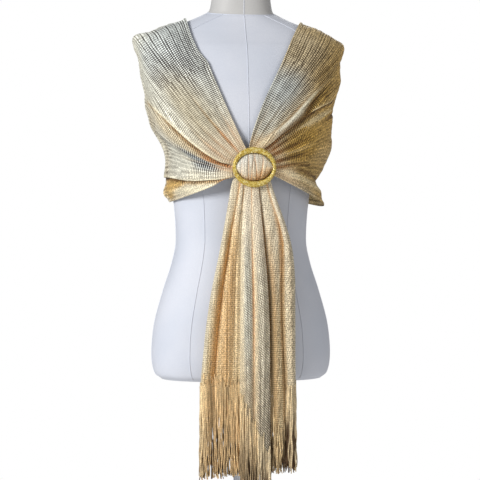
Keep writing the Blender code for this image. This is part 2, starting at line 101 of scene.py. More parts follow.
# The form's sections: height, half width, front and back depth, and forward tilt in degrees.
TORSO = (
    (700, 148, 88, 98, 0), (712, 160, 97, 110, 0), (745, 165, 101, 115, 0), (800, 160, 101, 112, 0),
    (860, 144, 97, 101, 0), (910, 128, 91, 88, 0), (955, 120, 88, 80, 0), (1000, 122, 92, 80, 0),
    (1045, 127, 100, 85, 0), (1085, 131, 110, 91, 0), (1127, 134, 119, 97, 0), (1160, 138, 118, 100, 0),
    (1200, 149, 111, 102, 0), (1240, 164, 103, 102, 0), (1275, 177, 95, 97, 0), (1298, 184, 86, 91, 0),
    (1310, 184, 78, 85, 0), (1322, 172, 70, 80, 0), (1333, 150, 63, 75, 0), (1345, 122, 57, 71, 2),
    (1357, 93, 52, 67, 6), (1366, 73, 49, 64, 10), (1372, 61, 46, 62, 13),
)
NECK = (
    (1372.4, 60.5, 46, 62, 13), (1380, 57, 45, 60, 12), (1400, 54, 46, 56, 9), (1424, 53, 48, 53, 6),
    (1432, 50, 46, 50, 6), (1437, 42, 39, 42, 6),
)
SQUARENESS = 2.35
FORM_SEGMENTS = 176
FORM_QUARTER = FORM_SEGMENTS // 4

# Lines of each wing: the place across the cloth, the angle at the buckle, x and z over the chest,
# x and z at the side crest, and how far the line reaches forward from there.
WING_RIGHT = (
    (0, 111, 49, 1200, 102, 1360, 56), (.1, 123, 63, 1187, 134, 1350, 66),
    (.2, 135, 81, 1178, 168, 1336, 70), (.3, 149, 107, 1152, 197, 1322, 72),
    (.4, 161, 128, 1124, 188, 1288, 82), (.5, 170, 145, 1099, 179, 1244, 90),
    (.6, 178, 142, 1094, 176, 1198, 92), (.7, 186, 121, 1095, 160, 1156, 90),
    (.78, 192, 103, 1088, 140, 1124, 88), (.86, 198, 95, 1071, 138, 1091, 88),
    (.93, 204, 91, 1057, 138, 1053, 84), (1, 210, 86, 1037, 130, 1023, 78),
)
WING_LEFT = (
    (0, 106, 10, 1193, 109, 1352, 58), (.1, 99, 26, 1185, 137, 1341, 62),
    (.2, 90, 45, 1180, 169, 1328, 66), (.27, 81, 60, 1176, 193, 1318, 73),
    (.31, 76, 70, 1176, 195, 1308, 77), (.37, 69, 83, 1175, 188, 1287, 84),
    (.46, 59, 97, 1169, 186, 1245, 92), (.55, 46, 94, 1150, 175, 1208, 96),
    (.62, 35, 97, 1134, 171, 1182, 98), (.7, 22, 99, 1117, 169, 1153, 98),
    (.78, 9, 96, 1101, 168, 1120, 96), (.86, -4, 89, 1083, 154, 1086, 90),
    (.93, -14, 85, 1062, 140, 1056, 84), (1, -24, 87, 1044, 155, 1016, 80),
)

# Folds of the wrap: kind, height, width and path, a turn, a place across and a size at each step.
# The turn runs along the cloth: 0 is the buckle's right side, 1 the right crest, 2 the centre
# back, 3 the left crest, 4 the buckle's left side. Across is 0 at the inner edge and 1 at the
# hem, and the size scales the height. A ridge is round, a crease sharp, and a lip overhangs what
# lies below it.
FOLDS = (
    # right wing
    ("ridge", 4, 26, ((.05, .3, 0), (.3, .3, 1), (1, .32, .8), (1.2, .32, 0))),
    ("ridge", 6, 24, ((.02, .43, 0), (.2, .4, 1), (.6, .42, 1), (1, .47, .8), (1.3, .5, 0))),
    ("lip", 9, 8, ((0, .56, .1), (.07, .51, .6), (.16, .478, 1), (.31, .47, 1), (.5, .49, 1),
        (.7, .535, .7), (.82, .56, .2), (1, .58, 0))),
    ("crease", 4, 4, ((0, .19, .5), (.13, .213, 1), (.24, .225, .8), (.45, .23, 0))),
    ("crease", 1.8, 4, ((0, .07, .5), (.15, .085, 1), (.4, .1, 0))),
    ("crease", 1.8, 4, ((0, .3, .5), (.15, .31, 1), (.4, .32, 0))),
    ("crease", 2, 4, ((0, .4, .5), (.15, .39, 1), (.45, .38, 0))),
    ("crease", 2, 5, ((0, .68, .4), (.15, .65, 1), (.42, .67, 0))),
    ("crease", 2.5, 5, ((0, .8, .5), (.2, .78, 1), (.5, .8, .5), (.8, .8, 0))),
    ("ridge", 4, 20, ((.2, .7, 0), (.5, .69, 1), (.9, .69, 1), (1.2, .68, 0))),
    ("lip", 6, 6, ((.02, .985, .2), (.18, .945, .8), (.43, .925, 1), (.6, .912, 1), (1, .9, .8),
        (1.3, .9, 0))),
    ("ridge", 3.5, 11, ((.05, .99, .2), (.2, .985, 1), (.6, .965, 1), (1, .96, .6), (1.3, .96, 0))),
    # left wing
    ("ridge", 2.5, 24, ((3.9, .1, 0), (3.6, .12, 1), (3.2, .12, .8), (3, .12, 0))),
    ("ridge", 12, 6, ((4, .28, .2), (3.94, .29, .5), (3.88, .33, .9), (3.8, .372, 1), (3.7, .388, 1),
        (3.6, .375, .8), (3.48, .37, .3), (3.35, .37, 0))),
    ("crease", 4, 4, ((3.95, .265, 0), (3.82, .335, .8), (3.68, .352, 1), (3.52, .34, 0))),
    ("crease", 5, 4.5, ((3.95, .34, 0), (3.8, .41, .8), (3.68, .428, 1), (3.52, .41, .7), (3.4, .41, 0))),
    ("lip", 9, 6, ((4, .4, .2), (3.88, .42, .8), (3.79, .443, 1), (3.67, .452, 1), (3.53, .475, .8),
        (3.37, .505, .5), (3.1, .53, 0))),
    ("crease", 2.6, 4, ((3.72, .4, 0), (3.58, .415, 1), (3.4, .44, 1), (3.15, .46, 0))),
    ("crease", 2.2, 4, ((3.62, .34, 0), (3.45, .355, 1), (3.2, .37, 1), (3.02, .38, 0))),
    ("crease", 2.2, 4, ((3.55, .29, 0), (3.4, .3, 1), (3.2, .31, .7), (3.05, .32, 0))),
    ("ridge", 6, 14, ((3.9, .52, 0), (3.73, .53, .8), (3.58, .54, 1), (3.33, .575, 1), (3.1, .62, .3),
        (2.9, .62, 0))),
    ("crease", 6, 9, ((3.5, .6, 0), (3.25, .6, .8), (3, .61, 1), (2.75, .61, .4), (2.5, .6, 0))),
    ("crease", 4.5, 5, ((4, .545, .4), (3.9, .55, 1), (3.62, .56, 0))),
    ("crease", 5, 6, ((4, .6, .4), (3.9, .625, 1), (3.72, .65, .8), (3.55, .66, 0))),
    ("ridge", 4, 9, ((4, .665, .4), (3.9, .69, 1), (3.7, .71, .8), (3.4, .71, 0))),
    ("crease", 5, 6, ((4, .74, .4), (3.9, .75, 1), (3.72, .76, .8), (3.5, .77, 0))),
    ("crease", 4, 5, ((4, .84, .4), (3.9, .842, 1), (3.78, .835, 1), (3.57, .85, .8), (3.3, .86, 0))),
    ("ridge", 6, 12, ((4, .86, .2), (3.85, .9, .8), (3.54, .935, 1), (3.35, .95, 1), (3, .96, .8),
        (2.8, .96, 0))),
    ("crease", 4, 5, ((3.8, .86, 0), (3.54, .89, 1), (3.3, .91, 1), (3, .92, .6), (2.8, .92, 0))),
    ("crease", 1.8, 4, ((4, .06, .5), (3.85, .075, 1), (3.6, .09, 0))),
    ("crease", 1.8, 4, ((4, .18, .5), (3.85, .19, 1), (3.55, .2, 0))),
    # back
    ("ridge", 8, 26, ((.95, .14, 0), (1.3, .16, .8), (2, .22, 1), (2.7, .16, .8), (3.05, .14, 0))),
    ("ridge", 10, 28, ((1, .34, 0), (1.4, .37, .9), (2, .43, 1), (2.6, .36, .9), (3, .32, 0))),
    ("lip", 5, 8, ((1.1, .42, 0), (1.5, .46, .8), (2, .52, 1), (2.5, .47, .9), (2.9, .42, 0))),
    ("ridge", 9, 26, ((1.1, .55, 0), (1.5, .58, .9), (2, .63, 1), (2.5, .57, .9), (3, .55, 0))),
    ("crease", 4, 8, ((1.2, .66, 0), (1.6, .69, .9), (2, .72, 1), (2.5, .68, .8), (2.8, .66, 0))),
    ("ridge", 8, 24, ((1, .76, .3), (1.5, .79, 1), (2, .82, 1), (2.5, .78, 1), (2.95, .76, 0))),
    ("ridge", 5, 12, ((1, .96, 1), (1.5, .965, .8), (2, .97, .6), (2.5, .965, .8), (3, .96, .8))),
    # edges
    ("ridge", 1.6, 3.2, ((0, .006, 1), (2, .006, 1), (4, .006, 1))),
    ("ridge", 1.6, 3.2, ((0, .994, 1), (2, .994, 1), (4, .994, 1))),
)

# Patches of tone: their middle and their reach, both along and across the cloth, and then how
# open the knit is there, and how peach, silver and gold. On the wrap they lie at a turn and a
# place across it, on a tail at a share of its drop and of its width. A more open patch is
# darker, as the knit's gaps are painted with the shade behind it. The right wing's silver and
# the left wing's gold and open patches are partly painted light and shade: the right wing lies
# towards the key light, the left away from it.
WRAP_TONE = (
    (.75, .2, .2, .18, 1.4, 0, .9, 0), (.98, .3, .05, .6, .2, 0, .4, .2),
    (.86, .33, .09, .11, .05, 0, .3, .1), (.55, .1, .24, .1, 1.65, 0, .9, 0),
    (.33, .24, .16, .16, .85, 0, .1, .1), (.8, .46, .2, .08, .5, 0, .4, 0),
    (.45, .42, .16, .05, .85, 0, .45, 0), (.4, .54, .25, .05, .9, 0, .2, .4),
    (.26, .76, .11, .085, 2.1, 0, 1, 0), (.6, .8, .16, .09, .8, 0, .5, .1),
    (.25, .9, .12, .04, .6, 0, .3, .2), (.7, .93, .14, .015, .6, .2, 0, 1.6),
    (.9, .95, .12, .025, .6, .2, 0, 1.4), (.33, .97, .22, .025, .25, 0, .1, .1),
    (.05, .3, .1, .6, .5, .45, .25, 0), (3.62, .12, .1, .14, 1.2, 0, .9, .1),
    (3.8, .12, .1, .12, 1.05, 0, .5, .1), (3.66, .29, .13, .05, 1.5, 0, .25, .5),
    (3.42, .08, .1, .14, 1, 0, .1, .5), (3.18, .12, .1, .15, .7, 0, 0, .65),
    (3.02, .25, .06, .6, .1, 0, 0, .85), (3.14, .36, .15, .14, .25, 0, 0, 1),
    (3.42, .3, .17, .09, 1.3, 0, 0, .85), (3.74, .378, .15, .024, .05, 0, .35, .1),
    (3.5, .43, .16, .03, 1.2, 0, 0, 1), (3.3, .62, .25, .14, .3, 0, 0, 1),
    (3.68, .68, .15, .14, 1.2, 0, 0, 1.15), (3.82, .92, .12, .06, .3, .6, 0, .3),
    (3.5, .88, .24, .06, 1, 0, 0, .9), (3.98, .45, .07, .5, .55, .35, .1, .4),
    (3.22, .96, .16, .1, .35, 0, 0, .9), (2.8, .95, .15, .08, .5, 0, 0, .8),
    (2.8, .4, .2, .6, .45, 0, 0, .7), (2, .5, .6, .8, .8, 0, .25, .5),
)
UNDER_TONE = (
    (.5, .02, .8, .08, .45, .15, .2, .1), (.06, .45, .14, .8, .2, .4, .35, 0),
    (.05, .4, .12, .7, .2, .35, .6, 0), (.6, .18, .6, .08, .3, .75, 0, .15),
    (.6, .34, .6, .11, .5, .6, 0, .15), (1, .25, .1, .22, .5, .4, 0, .45),
    (.6, .72, .6, .1, .7, .12, 0, .4), (.25, .74, .2, .14, .45, .25, .45, .1),
    (.75, .95, .5, .14, .32, 0, .32, .5),
)
OVER_TONE = (
    (.5, .02, 2, .12, .15, .15, .1, .2), (.08, .4, .17, .8, .2, .45, .4, 0),
    (.6, .28, .42, .12, .85, 0, .42, .05), (.5, .54, 2, .06, .15, .3, 0, .15),
    (.6, .8, .42, .12, .9, .05, .3, .2), (1, .2, .2, .3, .9, .25, .2, .6),
    (1, .85, .2, .3, 1.7, 0, .45, .65),
)
# Painted soft shade down the under tail: its place across, its reach and its depth.
SHADE_UNDER = ((.165, .045, .58), (.29, .09, .38), (.7, .06, .5), (.92, .07, .3))

# Lines down each tail: x at each of the four heights, and how far the line stands forward at all
# of them but the third.
STATIONS = (1048, 940, 850, 675)
TAIL_UNDER = (
    (-33, -52, -70, -90, -5, -8, -6), (-29, -48, -65, -84, -3, 4, 5), (-18, -37, -50, -66, -4, -5, -5),
    (-14, -29, -38, -50, -3, -1, 1), (-10, -22, -27, -32, -4, -4, -4), (-5, -13, -16, -18, -4, -3, -3),
    (3, 5, 6, 7, -5, -11, -12), (14, 25, 32, 34, -4, -9, -10), (22, 38, 44, 48, -3, 1, 1),
    (31, 57, 57, 64, -4, -6, -9), (35, 67, 70, 74, -3, 3, 4), (39, 75, 81, 81, -5, -8, -5),
)
TAIL_OVER = (
    (-10, -17, -18, -19, .4, 2, 3), (-4, -8, -8, -8, .8, 8, 9), (2, 3, 5, 6, .4, 4, 4),
    (8, 14, 19, 21, .8, 8, 9), (14, 25, 32, 35, .4, 2, 3),
)
# The hem's height at shares of the tail's width.
HEM_UNDER = ((0, 696), (.12, 699), (.25, 696), (.55, 692), (.65, 691), (.66, 690), (.7, 628),
             (.8, 612), (.83, 690), (.84, 692), (1, 694))
HEM_OVER = ((0, 672), (.5, 626), (1, 572))
# The fringe's lowest yarns, from the tail's one side to the other, and how many yarns there are.
TIPS_UNDER, YARNS_UNDER = (540, 552), 270
TIPS_OVER, YARNS_OVER = (524, 470), 96

# Pleats of the puff in the buckle: their place, depth, width, lean and bow.
GATHER_PLEATS = ((-.74, 1.4, .07, .04, .06), (-.36, 2.6, .05, 0, .03), (-.14, 2.2, .06, .16, .14),
                 (.06, 3, .05, -.12, -.06), (.24, 1.2, .07, .06, -.06), (.42, 3, .06, .16, -.12),
                 (.66, 1.4, .06, .14, -.06))
# The puff's side view: the place down the cloth, its height as a share of the half height, and how
# far it stands forward.
GATHER_PROFILE = ((0, 1, 0), (.14, .82, 1.2), (.24, .74, 6.5), (.34, .58, 11), (.5, .06, 14.5),
                  (.66, -.57, 11.5), (.76, -.74, 6.5), (.86, -.82, 1.2), (1, -1, 0))

# --- Curves and grids ---


def stacked(*parts):
    """The parts as the last axis of one array, each spread to the others' shape."""
    return np.stack(np.broadcast_arrays(*parts), axis=-1)


def even(count):
    """Even steps from 0 to 1."""
    return np.linspace(0, 1, count)


def circle(count):
    return math.tau * np.arange(count) / count


def share(value):
    return np.clip(value, 0, 1)


def bell(value, middle, reach):
    return np.exp(-((value - middle) / reach) ** 2)


def smooth(value, low, high):
    t = share((value - low) / (high - low))
    return t * t * (3 - 2 * t)


def unit(vectors):
    return vectors / np.maximum(np.linalg.norm(vectors, axis=-1, keepdims=True), 1e-9)


def summed(steps, axis):
    """The running sum of the steps, from 0."""
    return np.concatenate([np.zeros_like(steps.take([0], axis)), np.cumsum(steps, axis)], axis)


def arc_length(grid, axis):
    return summed(np.linalg.norm(np.diff(grid, axis=axis), axis=2), axis)


def read_table(rows, at):
    """The rows' columns at each value of the first one, on smooth curves through the rows."""
    table = np.array(rows, float)
    keys, values = table[:, 0], table[:, 1:]
    at = np.clip(np.asarray(at, float), keys[0], keys[-1])
    step = np.diff(keys)[:, None]
    rise = np.diff(values, axis=0) / step
    slope = (rise[1:] * step[:-1] + rise[:-1] * step[1:]) / (step[1:] + step[:-1])
    slope[rise[1:] * rise[:-1] <= 0] = 0
    slope = np.vstack([rise[:1], slope, rise[-1:]])
    cell = np.clip(np.searchsorted(keys, at, side="right") - 1, 0, len(keys) - 2)
    width = step[cell]
    t = (at - keys[cell])[:, None] / width
    return ((2 * t**3 - 3 * t**2 + 1) * values[cell] + (t**3 - 2 * t**2 + t) * slope[cell] * width
            + (3 * t**2 - 2 * t**3) * values[cell + 1] + (t**3 - t**2) * slope[cell + 1] * width)


def bezier(points, t):
    return ((1 - t)**3 * points[0] + 3 * (1 - t)**2 * t * points[1]
            + 3 * (1 - t) * t**2 * points[2] + t**3 * points[3])


def refined(grid, rows, columns):
    """The grid resampled evenly by index on Catmull-Rom curves, first down and then across."""
    for count in (rows, columns):
        size = len(grid)
        at = np.linspace(0, size - 1, count)
        cell = np.clip(at.astype(int), 0, size - 2)
        t = (at - cell)[:, None, None]
        padded = np.concatenate([2 * grid[:1] - grid[1:2], grid, 2 * grid[-1:] - grid[-2:-1]])
        a, b, c, d = (padded[cell + k] for k in range(4))
        grid = 0.5 * (2 * b + (c - a) * t + (2 * a - 5 * b + 4 * c - d) * t**2
                      + (3 * b - a - 3 * c + d) * t**3)
        grid = grid.transpose(1, 0, 2)
    return grid


def waves(x, y, rng, across_length, along_length, count=10):
    """Smooth irregular waves of about unit height, from sines of scattered lengths."""
    total = 0
    for _ in range(count):
        kx = (0.6 + 0.9 * rng.random()) / across_length
        ky = (rng.random() - 0.5) * 2 / along_length
        total = total + np.sin(math.tau * (kx * x + ky * y + rng.random()))
    return total / math.sqrt(count / 2)


# --- Mesh pieces ---


def linked(name, data):
    obj = bpy.data.objects.new(name, data)
    bpy.context.scene.collection.objects.link(obj)
    return obj


def mesh_object(name, points, faces, material, attributes=(), bake_map=None, sharp=None):
    """A smooth mesh in millimetres, with point attributes, the bake's own map and a sharp angle."""
    mesh = bpy.data.meshes.new(name)
    mesh.from_pydata(np.asarray(points, float).reshape(-1, 3) * MM, [],
                     faces if isinstance(faces, list) else faces.tolist())
    for key, values in dict(attributes).items():
        kind, field = {3: ("FLOAT_VECTOR", "vector"), 4: ("FLOAT_COLOR", "color")}[values.shape[-1]]
        mesh.attributes.new(key, kind, "POINT").data.foreach_set(field, values.astype(np.float32).ravel())
    if bake_map is not None:
        corner = np.zeros(len(mesh.loops), np.int32)
        mesh.loops.foreach_get("vertex_index", corner)
        layer = mesh.uv_layers.new(name="OFBake")
        layer.uv.foreach_set("vector", bake_map.astype(np.float32).reshape(-1, 2)[corner].ravel())
    mesh.materials.append(material)
    mesh.shade_smooth()
    if sharp:
        mesh.set_sharp_from_angle(angle=math.radians(sharp))
    return linked(name, mesh)


def hand_in(piece, slot, *nodes):
    """The piece rides on the root, in place of the nodes; the slot is not used."""
    if nodes:
        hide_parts(*nodes)
    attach(piece, "root")
    return piece


def grid_faces(rows, columns, first=0, round_rows=False, round_columns=True):
    """Faces of a grid of points, which closes on itself along its rows, its columns or neither."""
    i, j = np.meshgrid(np.arange(rows - 1 + round_rows), np.arange(columns - 1 + round_columns),
                       indexing="ij")
    here, below = first + i * columns, first + (i + 1) % rows * columns
    ahead = (j + 1) % columns
    return np.stack([here + j, here + ahead, below + ahead, below + j], axis=2).reshape(-1, 4)


def sheet_object(name, grid, material, cloth, tone):
    """A sheet over a grid of points, with the cloth and tone attributes at each of them."""
    rows, columns = grid.shape[:2]
    faces = grid_faces(rows, columns, round_columns=False)[:, [0, 3, 2, 1]]
    edge = 0.002
    u, v = (np.linspace(edge, 1 - edge, count) for count in (rows, columns))
    return mesh_object(name, grid, faces, material, {"cloth": cloth, "tone": tone},
                       stacked(u[:, None], v))


def tubes(paths, radius, sides=6):
    """Points and faces of tubes along several paths of equally many points."""
    paths = np.asarray(paths, float)
    strands, count = paths.shape[:2]
    ahead = unit(np.gradient(paths, axis=1))
    side = unit(np.cross(ahead, np.array([0.31, 0.83, 0.47])))
    up = np.cross(ahead, side)
    turn = circle(sides)[:, None]
    radius = np.broadcast_to(radius, (strands, count))[:, :, None, None]
    points = paths[:, :, None] + radius * (np.cos(turn) * side[:, :, None]
                                           + np.sin(turn) * up[:, :, None])
    faces = np.concatenate([grid_faces(count, sides, k * count * sides) for k in range(strands)])
    return points.reshape(-1, 3), faces


# --- Materials ---


class Value:
    """One output of a node in a graph. Sums with it make more nodes."""

    def __init__(self, graph, socket):
        self.graph = graph
        self.socket = socket

    def __add__(self, other):
        return self.graph.math("ADD", self, other)

    def __mul__(self, other):
        return self.graph.math("MULTIPLY", self, other)

    def __truediv__(self, other):
        return self.graph.math("DIVIDE", self, other)


class Graph:
    """A material's node tree, with one short call for each kind of node.

    An input is a value, a number, or a colour in the usual 0 to 255 steps.
    """

    def __init__(self, name):
        self.material = bpy.data.materials.new(name)
        self.material.use_nodes = True
        self.tree = self.material.node_tree
        self.shader = self.tree.nodes["Principled BSDF"]

    def put(self, socket, value):
        if isinstance(value, Value):
            self.tree.links.new(value.socket, socket)
        elif isinstance(value, tuple):
            steps = np.array(value) / 255
            linear = np.where(steps <= 0.04045, steps / 12.92, ((steps + 0.055) / 1.055) ** 2.4)
            socket.default_value = (*linear.tolist(), 1)
        else:
            socket.default_value = value

    def outputs(self, kind, inputs=(), **settings):
        made = self.tree.nodes.new("ShaderNode" + kind)
        for key, value in settings.items():
            setattr(made, key, value)
        for key, value in dict(inputs).items():
            self.put(made.inputs[key], value)
        return [Value(self, socket) for socket in made.outputs]

    def math(self, operation, *values, clamp=False):
        return self.outputs("Math", enumerate(values), operation=operation, use_clamp=clamp)[0]

    def scaled(self, colour, factor):
        return self.outputs("VectorMath", {0: colour, "Scale": factor}, operation="SCALE")[0]

    def painted(self, colour, *layers):
        """The colour with each layer, a factor and a colour, mixed over it in turn."""
        for factor, over in layers:
            colour = self.outputs("Mix", {0: factor, 6: colour, 7: over}, data_type="RGBA",
                                  clamp_factor=True)[2]
        return colour

    def step(self, value, low, high, to_low=0, to_high=1):
        return self.outputs("MapRange", {0: value, 1: low, 2: high, 3: to_low, 4: to_high},
                            interpolation_type="SMOOTHSTEP")[0]

    def noise(self, vector, scale=1, detail=2, rough=0.5):
        return self.outputs("TexNoise", {"Vector": vector, "Scale": scale, "Detail": detail,
                                         "Roughness": rough})[0]

    def join(self, x, y=0, z=0):
        return self.outputs("CombineXYZ", {0: x, 1: y, 2: z})[0]

    def split(self, vector):
        return self.outputs("SeparateXYZ", {0: vector})

    def attribute(self, name):
        """The attribute as a colour, as a vector and its alpha."""
        colour, vector, _, alpha = self.outputs("Attribute", attribute_name=name)
        return colour, vector, alpha

    def object_place(self):
        return self.outputs("TexCoord")[3]

    def finish(self, colour, roughness, height=None, bump=0.3, distance=0.0005, **fixed):
        self.put(self.shader.inputs["Base Color"], colour)
        self.put(self.shader.inputs["Roughness"], roughness)
        if height is not None:
            normal, = self.outputs("Bump", {"Strength": bump, "Distance": distance, "Height": height})
            self.put(self.shader.inputs["Normal"], normal)
        for key, value in fixed.items():
            self.shader.inputs[key.replace("_", " ")].default_value = value
        return self.material


def cloth_material(name, ribs, course, ladders, run, shade_open, warm, glow, narrow=()):
    """Open knit of metallic yarn: courses across the cloth, ribs along it, ladders between them.

    Ribs and course are the millimetres from one to the next, ladders how dark the gaps between
    ribs are, run a ladder's length, and shade_open how open the knit looks in a fold's painted
    shade. The gaps are painted dark, as the shade behind the open knit seen through it.
    Peach yarn has the colour warm, and glow is the colour painted into its folds' shade. Past each
    place along the cloth in narrow, the knit is drawn together and its ribs lie in fewer bundles.
    The cloth attribute is the place along and across the cloth and how gold the yarn is. The tone
    attribute is how peach, silver and open the knit is, and its alpha runs from a painted
    highlight on a fold's crest, below 0, to painted shade in the fold, above 0.
    """
    g = Graph(name)
    _, place, _ = g.attribute("cloth")
    tone, _, shade = g.attribute("tone")
    peach, silver, opened = g.split(tone)
    u, v, gold = g.split(place)
    painted_shade = g.math("MAXIMUM", shade, 0)
    crest = g.math("MAXIMUM", shade * -1, 0)
    v_bent = v + g.noise(g.join(v * 0.04, u * 0.002), detail=1) * 3
    far = g.math("ABSOLUTE", u) + g.noise(g.join(v * 0.06), detail=1) * 60
    pitch = ribs
    for start in narrow:
        pitch = g.math("GREATER_THAN", far, start + 30) * (0.38 * ribs) + pitch
    # In a fold's painted shade the knit's gaps are painted darker.
    opened = g.math("MAXIMUM", opened, g.step(painted_shade, 0.1, 0.7, 0, shade_open))
    closed = g.step(opened, 1.2, 2.2, 1, 0.8)
    across_rib = v_bent / pitch
    from_gap = g.math("PINGPONG", across_rib, 0.5) * closed
    rib_gap = g.step(from_gap, 0.1, 0.23, 1, 0)
    spine = g.step(from_gap, 0.28, 0.42)
    # Ladders are the gaps between ribs that stand apart.
    gap_number = g.math("FLOOR", across_rib + 0.5)
    ladder = g.noise(g.join(gap_number * 3.7, u / run), detail=1)
    ladder = g.step(ladder, 0.42, 0.58, 0.3 * ladders, 1.25 * ladders)
    # Each rib's courses start at their own place, and its yarns shine unevenly: partly their own
    # uneven tone, partly painted sparkle.
    rib = g.math("FLOOR", across_rib)
    jump = g.outputs("TexWhiteNoise", {"W": rib}, noise_dimensions="1D")[0]
    from_course = g.math("PINGPONG", u / course + jump * 0.08, 0.5) * closed
    rungs = g.step(from_course, 0.15, 0.36, 1, 0) * g.step(spine, 0, 1, 1, 0.7)
    blotch = g.step(g.noise(place, 0.055), 0.36, 0.64)
    rungs = rungs * g.step(blotch, 0, 1, 0.72, 1)
    if narrow:
        ladder = ladder * g.step(far, narrow[0], narrow[0] + 90, 1, 0.4)
        rungs = rungs * g.step(far, narrow[0] - 90, narrow[0], 0.5, 1)
    # The knit's gaps, its rungs and ladders, are painted dark: the shade behind the open cloth, seen
    # through it.
    mesh = g.math("MAXIMUM", rungs, rib_gap * ladder)
    # On a fold's crest the gaps close: painted highlight, and at a lip's doubled top edge partly the
    # doubled cloth.
    dark = g.math("MULTIPLY", mesh, opened, clamp=True) * g.step(crest, 0, 0.8, 1, 0.3)
    # Each fleck of yarn is lighter or darker too, partly its own tone and partly painted sparkle, most on
    # gold yarn; along each rib's middle the yarn is painted a little lighter, a painted highlight.
    streak = g.noise(g.join(rib * 5.1, u * 0.02))
    grain = g.step(g.noise(place, 0.46, 2, 0.7), 0.34, 0.68, g.step(gold, 0, 1, 0.5, 0.28),
                   g.step(gold, 0, 1, 1.4, 1.65))
    grain = grain * g.step(streak, 0.32, 0.68, 0.84, 1.12) * g.step(spine, 0, 1, 0.94, 1.1)
    # Painted light and shade of the folds: a crest's yarn is lightened to cream, a painted highlight; in
    # a fold's shade it turns orange, gold-brown on gold yarn and brown where deepest, painted shade.
    trough_shade = g.painted((206, 164, 102), (g.step(peach, 0, 0.3), glow), (gold, (128, 88, 36)))
    yarn = g.painted((242, 233, 202), (gold, (222, 176, 76)), (silver, (234, 244, 244)), (peach, warm),
                     (g.step(crest, 0, 1, 0, 0.6), (250, 238, 200)),
                     (g.step(painted_shade, 0, 0.8, 0, 0.85), trough_shade),
                     (g.step(painted_shade, 0.7, 1.2), (140, 92, 42)))
    # Colour of the painted shade in the gaps, warmer or cooler with the yarn around them.
    gap = g.painted((84, 66, 38), (gold, (66, 46, 14)), (silver, (48, 48, 54)), (peach, (150, 104, 58)))
    # Painted glints: small pale or gold spots of shine on the yarn, not on its gaps.
    glint = g.step(g.noise(place, 0.58, 1), 0.6, 0.68) * g.step(mesh, 0.3, 0.7, 0.6, 0)
    shine = g.painted((255, 252, 240), (gold, (244, 212, 120)))
    colour = g.painted(g.scaled(yarn, grain), (dark, gap), (glint, shine))
    height = g.math("SUBTRACT", 1, mesh) + grain * 0.3
    return g.finish(colour, g.step(grain, 0.7, 1.3, 0.75, 0.45), height, 0.55, 0.0007,
                    Metallic=0.1, Specular_IOR_Level=0.35)


def yarn_material():
    """Twisted metallic yarn of the fringe.

    The strand attribute is the drop, the angle round the yarn and its number; the tone is how
    peach, silver and gold it is, with its painted shade as alpha.
    """
    g = Graph("fringe_yarn")
    along, turn, number = g.split(g.attribute("strand")[1])
    tone, _, shade = g.attribute("tone")
    peach, silver, gold = g.split(tone)
    twist = g.math("SINE", along * 1.9 + turn)
    each = g.noise(g.join(number * 5.3, along * 0.02), detail=1)
    fine = g.noise(g.join(number * 9.1, along * 0.4, turn))
    # Strands and flecks of yarn are lighter or darker at random, and the yarn is painted lighter and
    # darker in bands along its twist, as light on its plies.
    light = g.step(each, 0.34, 0.66, 0.68, 1.26) * g.step(fine, 0.3, 0.75, 0.66, 1.45)
    light = light * g.step(twist, -1, 1, 0.75, 1.12)
    # Shaded yarn is painted dark brown: painted shade.
    yarn = g.painted((236, 214, 168), (gold, (208, 168, 102)), (silver, (222, 218, 198)),
                     (peach, (236, 194, 138)), (g.step(shade, 0, 1), (92, 66, 36)))
    return g.finish(g.scaled(yarn, light), g.step(fine, 0.3, 0.7, 0.6, 0.38), twist, 0.5, 0.0004,
                    Metallic=0.15)


def glitter_material():
    """Yellow gold set all over with fine glittering grains."""
    g = Graph("buckle_glitter")
    place = g.object_place()
    distance, cell = g.outputs("TexVoronoi", {"Vector": place, "Scale": 560})[:2]
    # Each facet of the glitter is painted its own brightness, from gold through pale yellow to
    # near-white: painted sparkle of the grains.
    facet = g.split(cell)[0] * g.step(distance, 0, 0.6, 1, 0.5)
    colour = g.painted((184, 152, 60), (g.step(facet, 0.1, 0.45), (238, 220, 134)),
                       (g.step(facet, 0.46, 0.7), (255, 252, 222)),
                       (g.step(g.noise(place, 90), 0.35, 0.7, 0, 0.4), (210, 184, 70)))
    return g.finish(colour, g.step(facet, 0.1, 0.7, 0.6, 0.3), facet, 0.6, 0.0006, Metallic=0.35)


def form_material(name, light, mid, dark):
    """Smooth white cover of fine jersey, with a soft unevenness between its three shades."""
    g = Graph(name)
    place = g.object_place()
    fine = g.noise(place, 900)
    soft = g.noise(place, 9, 3)
    colour = g.painted(mid, (g.step(soft, 0.3, 0.7), light), (g.step(fine, 0.3, 0.7, 0, 0.35), dark))
    return g.finish(colour, g.step(soft, 0.3, 0.7, 0.56, 0.66), fine, 0.25, 0.0003, Sheen_Weight=0.1)


def steel_material():
    """Satin steel, brushed along the pole."""
    g = Graph("pole_satin")
    x, y, z = g.split(g.object_place())
    streak = g.noise(g.join(x * 900, y * 900, z * 12), 1, 3)
    colour = g.painted((176, 177, 180), (g.step(streak, 0.3, 0.7), (206, 207, 210)))
    return g.finish(colour, g.step(streak, 0.3, 0.7, 0.26, 0.42), streak, 0.15, 0.0002, Metallic=1)


def base_material():
    """White powder coat with its fine texture."""
    g = Graph("base_coat")
    place = g.object_place()
    wear = g.noise(place, 14, 4)
    colour = g.painted((222, 222, 224), (g.step(wear, 0.35, 0.75), (206, 206, 208)))
    return g.finish(colour, g.step(wear, 0.3, 0.7, 0.42, 0.55), g.noise(place, 1400), 0.3, 0.0003)


def paper_material():
    g = Graph("floor_paper")
    paper = g.step(g.noise(g.object_place(), 40, 3), 0.3, 0.7)
    return g.finish(g.painted((240, 240, 240), (paper, (244, 244, 244))), 0.8)


# --- Dress form ---


